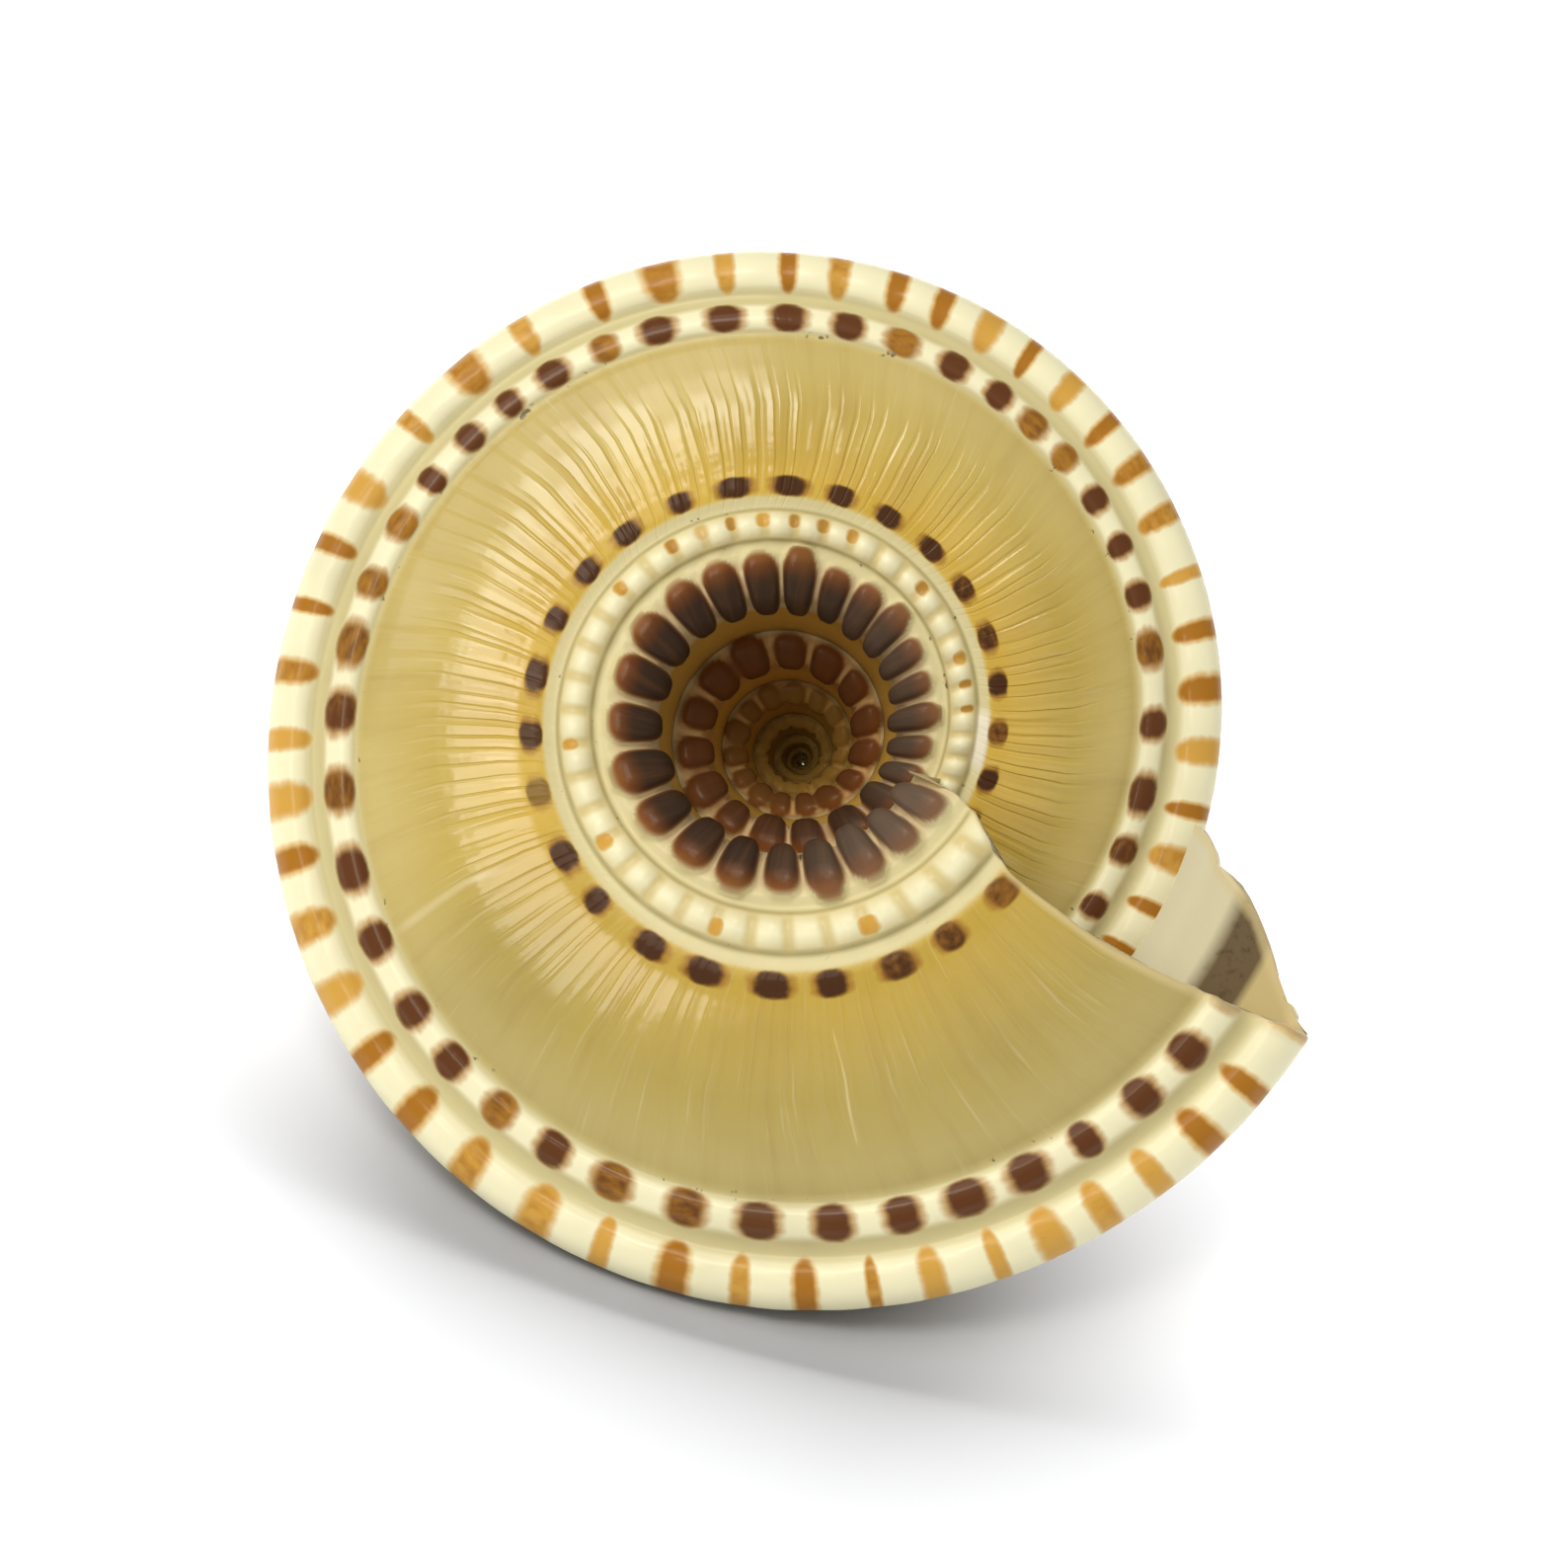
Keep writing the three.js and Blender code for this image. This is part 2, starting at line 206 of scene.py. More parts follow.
# counts along the whorl: base + slope * n + waves, for the uneven spacing
spacing = {
    "tooth": [0.02, 23.8, 0.31, 0.77],
    "spot": [-0.14, 26.81, -0.04, 0.33],
    "cord": [1.0, 43.25, -0.12, 0.31, -0.06, -0.3, -0.1, -0.11, 0.14, -0.17],
    "keel": [1.2, 48.72, 0.59, 0.07, -0.09, -0.18, 0.07, -0.33],
}
olderCount = {"tooth": 15, "spot": 20, "cord": 34, "keel": 38}      # for each turn before the last
beadSpacing = {"slope": 31, "crowding": 9.5, "older": 40}
reliefAt = {   # places where the relief starts, is full, ends and is gone: across, or in turns
    "beads": (0.035, 0.06, 0.105, 0.132),
    "keelNodes": (0.885, 0.92, 0.97, 1.02),
    "wrinkles": (0.15, 0.3, 0.45, 0.7),
    "scarAndGlint": (0.13, 0.15, 0.158, 0.185),
    "scarTurns": (0.888, 0.9, 0.925, 0.945),
}
toothForm = {
    "centre": -0.207,       # place across
    "halfAcross": 0.217,
    "halfAlong": 0.475,     # share of the room that each tooth has
    "powers": (2.8, 3.2),   # how square a tooth is, across and along
    "spread": (0.08, 0.012, 0.02),      # of the sizes, and of the places across and along
}


def phaseOf(kind, n):
    # base + slope * n + sines and cosines of whole waves over the last turn, then even counts
    terms = spacing[kind]
    last = np.minimum(n, 1)
    total = terms[0] + terms[1] * last + olderCount[kind] * np.maximum(0, n - 1)
    for k in range(1, len(terms) // 2):
        wave = 2 * np.pi * k * last
        total = total + terms[2 * k] * np.sin(wave) + terms[2 * k + 1] * np.cos(wave)
    return total


def beadPhase(n):
    # slope * n + crowding * n^2 over the last turn: the beads crowd towards its older end
    last = np.minimum(n, 1)
    recent = beadSpacing["slope"] * last + beadSpacing["crowding"] * last ** 2
    return recent + beadSpacing["older"] * np.maximum(0, n - 1)


def perCount(phase, spread, seed):
    # one random number for each whole count of the phase
    table = np.random.default_rng(seed).uniform(-spread, spread, 400)
    return table[np.floor(phase).astype(int) % 400]


def waviness(x, waveCounts):
    # sum of sines with random phases, about -1 to 1
    total = np.zeros_like(x)
    for count in waveCounts:
        total = total + np.sin(2 * np.pi * (count * x + rng.random())) * rng.uniform(0.5, 1)
    return total / len(waveCounts)


def plateau(name, x):
    # smooth rise * (1 - smooth fall)
    start, full, end, gone = reliefAt[name]
    return smooth(start, full, x) * (1 - smooth(end, gone, x))


def teeth(across, phase):
    # egg-shaped knobs: the root of 1 - |x|^p - |y|^q, x across the whorl and y along it
    powerX, powerY = toothForm["powers"]
    sizes, shiftX, shiftY = toothForm["spread"]
    size = 1 + perCount(phase, sizes, 3)
    x = (across - toothForm["centre"] + perCount(phase, shiftX, 4)) / (toothForm["halfAcross"] * size)
    room = toothForm["halfAlong"] * np.minimum(size, 1.03)
    y = ((phase % 1) - 0.5 + perCount(phase, shiftY, 6)) / room
    knob = np.maximum(0, 1 - np.abs(x) ** powerX - np.abs(y) ** powerY) ** 0.5
    return knob * size, x


def meshObject(name, points, quads, triangles, values):
    # smooth mesh of four-sided and three-sided faces, with one attribute for each of the values
    mesh = bpy.data.meshes.new(name)
    corners = np.concatenate([quads.ravel(), triangles.ravel()]).astype(np.int32)
    starts = np.concatenate([np.arange(len(quads)) * 4, len(quads) * 4 + np.arange(len(triangles)) * 3])
    mesh.vertices.add(len(points))
    mesh.vertices.foreach_set("co", points.astype(np.float32).ravel())
    mesh.loops.add(len(corners))
    mesh.loops.foreach_set("vertex_index", corners)
    mesh.polygons.add(len(starts))
    mesh.polygons.foreach_set("loop_start", starts.astype(np.int32))
    mesh.update(calc_edges=True)
    mesh.validate()
    mesh.shade_smooth()
    for key, value in values.items():
        kind = "FLOAT_VECTOR" if value.ndim == 2 else "FLOAT"
        layer = mesh.attributes.new(key, kind, "POINT")
        layer.data.foreach_set("vector" if value.ndim == 2 else "value", value.astype(np.float32).ravel())
    piece = bpy.data.objects.new(name, mesh)
    bpy.context.scene.collection.objects.link(piece)
    return piece


def buildShell():
    # closed C-shaped section swept round the axis: outer stations, then the hollow side's, in each column
    marks = np.interp(np.linspace(0, 1, columns["count"]), columns["share"], columns["turns"])
    straight = 1 - smooth(0, form["bendTurns"], marks)[:, None]
    ahead = lipTurns(sectionAcross) + form["lipRagged"] * waviness(sectionAcross, (5, 11, 17))
    nSection = marks[:, None] - ahead[None, :] * straight
    placed = [place(nSection[:, k], a, b) for k, (place, a, b, _, _) in enumerate(section)]
    nominal = np.array([place(np.array([0.3]), a, b) for place, a, b, _, _ in section])[:, :, 0]
    weights = curveWeights(nominal, [row[4] for row in section][:-1])
    r = np.stack([p[0] for p in placed], 1) @ weights.T
    z = np.stack([p[1] for p in placed], 1) @ weights.T
    n = nSection @ weights.T
    across = np.broadcast_to(weights @ sectionAcross, n.shape)
    dr, dz = np.gradient(r, axis=1), np.gradient(z, axis=1)
    length = np.hypot(dr, dz)
    outR, outZ, size = -dz / length, dr / length, sizeAt(n)
    growth = n + lipTurns(across)

    inside = np.abs(across[0][None, :] - np.array(hollowAcross)[:, None]).argmin(1)
    thick = (form["lipWall"] + (form["wall"] - form["lipWall"]) * smooth(0, 0.2, n)) * size
    hollowR, hollowZ = (r - outR * thick)[:, inside], (z - outZ * thick)[:, inside]

    phase = phaseOf("tooth", n)
    knob, toothX = teeth(across, phase)
    bead = beadPhase(n)
    beads = (0.5 - 0.5 * np.cos(2 * np.pi * bead)) ** 0.6 * (1 + perCount(bead, 0.4, 5))
    beads = plateau("beads", across) * beads
    keelNodes = plateau("keelNodes", across) * np.cos(2 * np.pi * phaseOf("keel", n))
    swelling = form["swellHeight"] * waviness(growth, (7, 13, 23, 41)) + form["nodeHeight"] * keelNodes
    scarAndGlint = form["scarHeight"] * plateau("scarAndGlint", across) * plateau("scarTurns", n)
    wrinkles = form["wrinkleHeight"] * waviness(growth, (61, 83, 109)) * plateau("wrinkles", across)
    wrinkles = wrinkles * (1 - smooth(0.66, 0.72, across))
    fromRim = np.clip(marks / form["lipRounding"], 0, 1)
    rounding = form["lipWall"] * 0.45 * (1 - np.sqrt(1 - (1 - fromRim) ** 2))[:, None]
    relief = form["toothHeight"] * knob + form["beadHeight"] * beads + swelling + wrinkles + scarAndGlint
    lift = size * (relief - rounding)
    r, z = r + outR * lift, z + outZ * lift

    angle = angleAt(n)
    outer = np.stack([r * np.cos(angle), r * np.sin(angle), z], -1)
    inner = np.stack([hollowR * np.cos(angle[:, inside]), hollowR * np.sin(angle[:, inside]), hollowZ], -1)
    count, stations, insides = len(marks), outer.shape[1], inner.shape[1]
    points = toFrame(np.concatenate([outer, inner], 1).reshape(-1, 3))

    ids = np.arange(count * (stations + insides)).reshape(count, stations + insides)
    shellIds, hollowIds = ids[:, :stations], ids[:, stations:]

    def quadsOf(left, right):
        return np.stack([left[:-1], left[1:], right[1:], right[:-1]], -1).reshape(-1, 4)

    quads = np.concatenate(
        [quadsOf(shellIds[:, k], shellIds[:, k + 1]) for k in range(stations - 1)]
        + [quadsOf(hollowIds[:, k + 1], hollowIds[:, k]) for k in range(insides - 1)]
        + [quadsOf(hollowIds[:, 0], shellIds[:, 0]), quadsOf(shellIds[:, -1], hollowIds[:, -1])])
    middles = (inside[:-1] + inside[1:]) // 2
    nearest = (middles[None, :] <= np.arange(stations - 1)[:, None]).sum(1)
    caps = []
    for column, turned in ((0, False), (count - 1, True)):
        outerIds, innerIds = shellIds[column], hollowIds[column]
        fans = np.concatenate([
            np.stack([outerIds[:-1], outerIds[1:], innerIds[nearest]], 1),
            np.stack([innerIds[1:], innerIds[:-1], outerIds[middles]], 1)])
        caps.append(fans[:, ::-1] if turned else fans)

    def both(value, hollowValue=None):
        hollowPart = value[:, inside] if hollowValue is None else np.full((count, insides), hollowValue)
        return np.concatenate([value, hollowPart], 1).ravel()

    values = {
        "turns": both(n), "across": both(np.array(across)), "growth": both(growth),
        "hollow": both(np.zeros_like(n), 1.0), "knob": both(knob, 0.0), "toothX": both(toothX),
        "counts": np.stack([both(phaseOf(k, n)) for k in ("keel", "cord", "spot")], 1),
        "bead": both(bead),
    }
    piece = meshObject("sundial", points, quads, np.concatenate(caps), values)
    print("shell:", len(piece.data.vertices), "vertices,", len(quads) * 2 + 2 * len(caps[0]), "triangles")
    return piece


# small helpers for node materials
class Nodes:
    def __init__(self, tree):
        self.tree = tree

    def add(self, kind, inputs=None, **settings):
        made = self.tree.nodes.new(kind)
        for key, value in settings.items():
            setattr(made, key, value)
        for key, value in (inputs or {}).items():
            self.feed(made.inputs[key], value)
        return made

    def feed(self, socket, value):
        if isinstance(value, bpy.types.NodeSocket):
            self.tree.links.new(value, socket)
        else:
            socket.default_value = value

    def math(self, operation, *values):
        made = self.add("ShaderNodeMath", operation=operation)
        for k, value in enumerate(values):
            self.feed(made.inputs[k], value)
        return made.outputs[0]

    def product(self, *values):
        return reduce(lambda a, b: self.math("MULTIPLY", a, b), values)

    def total(self, *values):
        return reduce(lambda a, b: self.math("ADD", a, b), values)

    def scaled(self, value, factor, offset):
        # value * factor + offset
        return self.math("MULTIPLY_ADD", value, factor, offset)

    def power(self, value, exponent):
        # |value| ^ exponent
        return self.math("POWER", self.math("ABSOLUTE", value), exponent)

    def random(self, count, output="Value"):
        # one random number or colour for each whole count
        return self.add("ShaderNodeTexWhiteNoise", {"W": count}, noise_dimensions="1D").outputs[output]

    def attribute(self, name, output="Fac"):
        return self.add("ShaderNodeAttribute", attribute_name=name).outputs[output]

    def step(self, value, low, high):
        # smooth step from 0 at low to 1 at high, also downwards when low > high
        if low > high:
            return self.math("SUBTRACT", 1.0, self.step(value, high, low))
        made = self.add("ShaderNodeMapRange", {"Value": value, "From Min": low, "From Max": high},
                        interpolation_type="SMOOTHSTEP")
        return made.outputs["Result"]

    def band(self, value, start, end, soft):
        # 1 between start and end, 0 outside
        return self.product(self.step(value, start - soft, start + soft),
                            self.step(value, end + soft, end - soft))

    def mix(self, factor, a, b, blend="MIX"):
        # inputs 6 and 7 and output 2 of a mix node are its colour sockets
        made = self.add("ShaderNodeMix", data_type="RGBA", blend_type=blend)
        self.feed(made.inputs[0], factor)
        self.feed(made.inputs[6], a)
        self.feed(made.inputs[7], b)
        return made.outputs[2]

    def mixNumber(self, factor, a, b):
        made = self.add("ShaderNodeMix", {0: factor, 2: a, 3: b}, data_type="FLOAT")
        return made.outputs[0]

    def vector(self, x, y=0.0, z=0.0):
        return self.add("ShaderNodeCombineXYZ", {0: x, 1: y, 2: z}).outputs[0]

    def noise(self, vector, scale, detail, rough):
        return self.add("ShaderNodeTexNoise", {
            "Vector": vector, "Scale": scale, "Detail": detail, "Roughness": rough}).outputs[0]

    def ramp(self, value, low, high, stops):
        # colours by place between low and high
        spread = self.add("ShaderNodeMapRange", {"Value": value, "From Min": low, "From Max": high})
        made = self.add("ShaderNodeValToRGB", {0: spread.outputs[0]})
        elements = made.color_ramp.elements
        places = [(place - low) / (high - low) for place, _ in stops]
        elements[0].position, elements[1].position = places[0], places[-1]
        elements[0].color, elements[1].color = stops[0][1], stops[-1][1]
        for place, (_, tone) in list(zip(places, stops))[1:-1]:
            elements.new(place).color = tone
        return made.outputs[0]


def colour(red, green, blue):
    # sRGB 0-255 -> linear
    def linear(c):
        c /= 255
        return c / 12.92 if c <= 0.04045 else ((c + 0.055) / 1.055) ** 2.4
    return (linear(red), linear(green), linear(blue), 1.0)


skin = {
    "white": colour(249, 242, 201), "cream": colour(224, 212, 162),
    "groove": colour(212, 200, 148), "seam": colour(180, 166, 112),
    "baseOuter": colour(210, 195, 134), "baseMid": colour(203, 184, 106), "baseInner": colour(217, 187, 88),
    "tintOld": colour(240, 228, 192), "tintMid": colour(255, 247, 228), "tintYoung": colour(228, 222, 204),
    "growthDark": colour(158, 118, 56), "growthPale": colour(250, 238, 206),
    "keelSpot": colour(172, 110, 20), "keelHalo": colour(216, 164, 70),
    "cordSpot": colour(90, 44, 16), "cordHalo": colour(178, 122, 36),
    "darkSpot": colour(62, 30, 18), "darkHalo": colour(160, 108, 40),
    "beadSpot": colour(182, 134, 58), "beadCream": colour(236, 222, 170), "beadGap": colour(214, 192, 124),
    "toothOuter": colour(108, 60, 28), "toothInner": colour(58, 42, 32), "olderTooth": colour(114, 66, 30),
    "toothTip": colour(160, 104, 52), "glaze": colour(146, 126, 106),
    # olderGapAndShade: the older rows' own gap colour, darkened with painted shade
    "gap": colour(214, 194, 152), "olderGapAndShade": colour(196, 156, 100),
    # wellDepthShade is painted shade deep in the umbilicus
    "well": colour(206, 166, 76), "wellDepthShade": colour(170, 134, 60),
    "spireTan": colour(196, 160, 106), "spireDark": colour(96, 62, 36), "spirePale": colour(230, 212, 166),
    "insideGrey": colour(112, 94, 68), "insideTan": colour(210, 190, 134),
    "insideWhite": colour(226, 218, 182),
    "lipEdge": colour(226, 206, 152), "dirt": colour(70, 60, 40), "clouds": colour(120, 100, 60),
    # scarAndGlint: the chip's pale colour brightened into a painted glint
    "scarAndGlint": colour(250, 244, 226), "crack": colour(248, 232, 180), "pauseLine": colour(240, 226, 180),
}
gloss = {
    "roughness": 0.42, "coatOnBase": 0.85, "coatOnCords": 0.26, "coatInWell": 0.12, "coatRoughness": 0.1,
    "ior": 1.53, "specular": 0.12, "specularTint": (1.0, 0.8, 0.55, 1.0),
}
ridges = {
    "count": 130.0,         # to a turn
    "waver": 2.6,           # how far they stray, in ridges
    "depth": 0.00005,       # metres
    "reach": 0.42,          # how far across the polished part goes, and how much that differs
    "reachSpread": 0.15,
    "dullness": 0.85,       # of the furrows between them
}
pause = 0.335               # turns back from the lip where growth once paused
streaks = {   # noises drawn out along the growth lines: scale along, scale across, offset, detail, roughness
    "lines": (110.0, 1.5, 0.0, 4.0, 0.6),
    "fineLines": (420.0, 3.0, 0.0, 3.0, 0.6),
    "broad": (9.0, 1.6, 0.0, 2.0, 0.5),
    "wobble": (140.0, 40.0, 9.0, 3.0, 0.5),
    "straying": (70.0, 0.35, 3.0, 2.0, 0.6),
    "ridgeHeight": (160.0, 2.0, 5.0, 1.0, 0.5),
    "broken": (60.0, 22.0, 7.0, 1.0, 0.5),
}
grains = {   # noises in space: scale for each metre, detail, roughness
    "clouds": (160.0, 3.0, 0.5), "dirt": (1500.0, 2.0, 0.6), "speckles": (1800.0, 3.0, 0.7),
}
zones = {   # bands across the whorl: from, to, softness
    "plain": [(0.18, 0.73, 0.02), (1.27, 1.78, 0.02)],
    "beads": [(0.045, 0.128, 0.012)],
    "teeth": [(-0.6, 0.0, 0.03)],
    "seams": [(0.024, 0.036, 0.006), (0.132, 0.15, 0.008), (0.725, 0.745, 0.008)],
    "insideGrey": [(1.44, 1.64, 0.04)],
    "ridges": [(0.2, 0.52, 0.1)],
    "cords": [(0.04, 0.135, 0.01), (0.74, 3.0, 0.01)],
    "polished": [(0.255, 0.73, 0.012)],
}
marks = {   # a band across, a band in turns back from the lip, strength
    # the chip near the lip: its pale colour and a painted glint on it
    "scarAndGlint": ((0.135, 0.18, 0.01), (0.895, 0.94, 0.008), 0.7),
    "crack": ((0.33, 0.6, 0.02), (0.1415, 0.142, 0.0005), 0.45),
    "pauseLine": ((0.4, 0.72, 0.05), (pause - 0.001, pause + 0.002, 0.0015), 0.35),
    "fleck": ((-0.4, -0.3, 0.02), (0.138, 0.145, 0.002), 0.85),
}
blot = {
    "jitter": 0.14,         # how far a spot strays along its row, in counts
    "powers": (3.4, 2.2),   # how square it is, across and along
    "ragged": 0.9,
    "soft": 0.5,
    "core": (0.92, 0.95),   # length and strength
    "halo": (1.3, 0.8),
}
spotRows = [
    # count that it follows, centre and half width across, half length in counts, seed, two colours,
    # share of the places that have a spot, share of pale spots, unevenness of the lengths
    ("spot", 0.213, 0.034, 0.26, 11, "darkSpot", "darkHalo", 1.0, 0.05, 0.22),
    ("cord", 0.790, 0.046, 0.26, 23, "cordSpot", "cordHalo", 1.0, 0.12, 0.2),
    ("keel", 0.955, 0.080, 0.17, 37, "keelSpot", "keelHalo", 1.0, 0.4, 0.45),
    ("betweenBeads", 0.098, 0.022, 0.17, 51, "beadSpot", "keelHalo", 0.4, 0.4, 0.4),
    ("cord", 1.93, 0.07, 0.26, 67, "cordSpot", "cordHalo", 1.0, 0.1, 0.3),
    ("keel", 1.14, 0.05, 0.2, 83, "keelSpot", "keelHalo", 1.0, 0.2, 0.4),
]


def readSurface(nodes):
    # what the mesh stores at each point, the noises, and young: 1 from the growth pause to the lip
    at = {name: nodes.attribute(name) for name in (
        "across", "growth", "turns", "hollow", "knob", "toothX", "bead")}
    counts = nodes.add("ShaderNodeSeparateXYZ", {0: nodes.attribute("counts", "Vector")}).outputs
    at["keel"], at["cord"], at["spot"] = counts[0], counts[1], counts[2]
    at["betweenBeads"] = nodes.total(at["bead"], 0.5)
    for name, (along, over, offset, detail, rough) in streaks.items():
        vector = nodes.vector(nodes.product(at["growth"], along), nodes.product(at["across"], over), offset)
        at[name] = nodes.noise(vector, 1.0, detail, rough)
    place = nodes.add("ShaderNodeTexCoord").outputs["Object"]
    for name, (scale, detail, rough) in grains.items():
        at[name] = nodes.noise(place, scale, detail, rough)
    at["young"] = nodes.step(at["growth"], pause + 0.02, pause - 0.04)
    return at


def zone(nodes, at, name):
    # sum of the zone's bands
    return nodes.total(*[nodes.band(at["across"], *limits) for limits in zones[name]])


def mark(nodes, at, name, back):
    # band across * band back from the lip * strength
    across, along, strength = marks[name]
    return nodes.product(nodes.band(at["across"], *across), nodes.band(back, *along), strength)


def baseColours(nodes, at):
    # the umbilicus, the base with its bands and the spire, each by place across the whorl
    across = at["across"]
    base = nodes.ramp(across, 0.0, 1.02, [
        (0.0, skin["cream"]), (0.026, skin["cream"]), (0.035, skin["seam"]), (0.046, skin["beadCream"]),
        (0.088, skin["white"]), (0.12, skin["beadCream"]), (0.135, skin["seam"]), (0.146, skin["cream"]),
        (0.172, skin["cream"]), (0.185, skin["baseInner"]), (0.27, skin["baseInner"]),
        (0.50, skin["baseMid"]), (0.66, skin["baseOuter"]), (0.728, skin["baseOuter"]),
        (0.742, skin["groove"]), (0.758, skin["white"]), (0.822, skin["white"]), (0.838, skin["groove"]),
        (0.872, skin["groove"]), (0.892, skin["white"]), (1.0, skin["white"])])
    # the umbilicus wall darkens towards its foot with painted shade
    well = nodes.ramp(across, -1.1, 0.0, [
        (-1.1, skin["wellDepthShade"]), (-0.75, skin["well"]), (-0.53, skin["well"]), (-0.42, skin["gap"]),
        (-0.1, skin["gap"]), (-0.02, skin["cream"])])
    spire = nodes.ramp(across, 1.0, 2.05, [
        (1.0, skin["white"]), (1.05, skin["groove"]), (1.1, skin["white"]), (1.175, skin["white"]),
        (1.2, skin["groove"]), (1.24, skin["spirePale"]), (1.27, skin["spireTan"]), (1.6, skin["spireTan"]),
        (1.66, skin["spireDark"]), (1.76, skin["spireDark"]), (1.8, skin["groove"]), (1.85, skin["white"]),
        (2.0, skin["white"])])
    shade = nodes.mix(nodes.step(across, -0.02, 0.0), well, base)
    return nodes.mix(nodes.step(across, 1.0, 1.02), shade, spire)


def addGrowthLines(nodes, at, shade):
    # tints that change slowly along the growth, darker and paler lines, and a few marks of its history; the
    # pale chip among them also carries a painted glint
    plain = zone(nodes, at, "plain")
    tint = nodes.mix(nodes.step(at["broad"], 0.35, 0.7), skin["tintOld"], skin["tintMid"])
    tint = nodes.mix(at["young"], tint, skin["tintYoung"])
    shade = nodes.mix(nodes.product(plain, 0.9), shade, tint, "MULTIPLY")
    darker = nodes.product(plain, nodes.step(at["lines"], 0.45, 0.75), 0.2)
    shade = nodes.mix(darker, shade, skin["growthDark"])
    paler = nodes.product(plain, nodes.step(at["fineLines"], 0.56, 0.8), 0.2)
    shade = nodes.mix(paler, shade, skin["growthPale"])

    bent = nodes.scaled(at["lines"], 0.004, nodes.scaled(at["broad"], 0.02, at["growth"]))
    # the chip's colour is partly a painted glint
    for name, back in (("scarAndGlint", at["growth"]), ("crack", bent), ("pauseLine", at["growth"])):
        shade = nodes.mix(mark(nodes, at, name, back), shade, skin[name])
    return shade


def addSpots(nodes, at, shade):
    # one spot to each count: ragged + |x|^p + |y|^q stays under 1, for a pale one with a shorter core inside
    powerX, powerY = blot["powers"]
    ragged = nodes.scaled(at["wobble"], blot["ragged"], -blot["ragged"] / 2)
    for kind, centre, half, along, seed, spot, halo, present, pale, uneven in spotRows:
        chance = nodes.random(nodes.total(nodes.math("FLOOR", at[kind]), seed), "Color")
        chance = nodes.add("ShaderNodeSeparateColor", {0: chance}).outputs
        shift = nodes.scaled(chance[0], blot["jitter"], -0.5 - blot["jitter"] / 2)
        length = nodes.scaled(chance[1], along * uneven * 2, along * (1 - uneven))
        y = nodes.math("DIVIDE", nodes.total(nodes.math("FRACT", at[kind]), shift), length)
        x = nodes.math("DIVIDE", nodes.math("SUBTRACT", at["across"], centre), half)
        side = nodes.total(ragged, nodes.power(x, powerX))
        seen = nodes.step(chance[0], 0.98 - present, 1.02 - present)
        dark = nodes.step(nodes.scaled(at["wobble"], 0.6, chance[2]), pale + 0.05, pale + 0.5)
        tones = {"halo": skin[halo], "core": nodes.mix(dark, skin[halo], skin[spot])}
        for part, tone in tones.items():
            stretch, strength = blot[part]
            distance = nodes.total(side, nodes.power(nodes.math("DIVIDE", y, stretch), powerY))
            inside = nodes.step(distance, 1 + blot["soft"], 1 - blot["soft"])
            shade = nodes.mix(nodes.product(inside, seen, strength), shade, tone)
    return shade


def addTeeth(nodes, at, shade):
    # rust brown outside, darker towards the umbilicus, glazed near the lip and a turn before;
    # older turns are redder with gaps darkened partly by painted shade, and the deepest fade into painted
    # shade at the bottom
    turns, knob, toothX = at["turns"], at["knob"], at["toothX"]
    tooth = nodes.mix(nodes.step(toothX, 0.1, 0.85), skin["toothInner"], skin["toothOuter"])
    rim = nodes.math("MAXIMUM", nodes.step(toothX, 0.6, 1.0), nodes.step(knob, 0.8, 0.4))
    tooth = nodes.mix(nodes.product(rim, 0.6), tooth, skin["toothTip"])
    tooth = nodes.mix(nodes.product(nodes.step(at["lines"], 0.4, 0.7), 0.1), tooth, skin["toothTip"])
    tooth = nodes.mix(nodes.product(nodes.step(turns, 0.95, 1.5), 0.6), tooth, skin["olderTooth"])
    turnBefore = nodes.product(nodes.band(turns, 0.74, 1.0, 0.06), 0.5)
    glazed = nodes.total(nodes.step(turns, 0.2, 0.0), turnBefore)
    tooth = nodes.mix(nodes.product(glazed, 0.34), tooth, skin["glaze"])
    # the gaps of the older rows take their own colour darkened with painted shade of the umbilicus
    older = nodes.product(zone(nodes, at, "teeth"), nodes.step(turns, 0.9, 1.5))
    shade = nodes.mix(older, shade, skin["olderGapAndShade"])
    shade = nodes.mix(nodes.step(knob, 0.12, 0.62), shade, tooth)
    # painted shade: the deepest turns fade into one darker colour that also hides their detail
    deep = nodes.product(nodes.step(at["across"], 0.05, 0.0), nodes.step(turns, 1.9, 3.3), 0.8)
    return nodes.mix(deep, shade, skin["wellDepthShade"])


def addDirt(nodes, at, shade):
    # faint clouds, specks in the seams beside the beads and the cord, a dark fleck on the teeth
    shade = nodes.mix(nodes.product(nodes.step(at["clouds"], 0.5, 0.8), 0.12), shade, skin["clouds"])
    specks = nodes.product(nodes.step(at["dirt"], 0.66, 0.7), zone(nodes, at, "seams"), 0.8)
    shade = nodes.mix(specks, shade, skin["dirt"])
    ragged = nodes.scaled(at["fineLines"], 0.012, at["turns"])
    return nodes.mix(mark(nodes, at, "fleck", ragged), shade, skin["dirt"])


def addInside(nodes, at, shade):
    # inside of the whorl by place across, and the thin broken edge of the lip
    within = nodes.ramp(at["across"], 1.0, 2.05, [
        (1.0, skin["insideTan"]), (1.39, skin["insideTan"]), (1.44, skin["insideGrey"]),
        (1.62, skin["insideGrey"]), (1.7, skin["insideWhite"]), (2.0, skin["insideWhite"])])
    speckles = nodes.product(nodes.step(at["speckles"], 0.5, 0.72), zone(nodes, at, "insideGrey"), 0.6)
    within = nodes.mix(speckles, within, skin["dirt"])
    shade = nodes.mix(nodes.step(at["hollow"], 0.3, 0.6), shade, within)
    edge = nodes.step(nodes.scaled(at["fineLines"], 0.002, at["growth"]), 0.006, 0.002)
    return nodes.mix(nodes.product(edge, 0.6), shade, skin["lipEdge"])


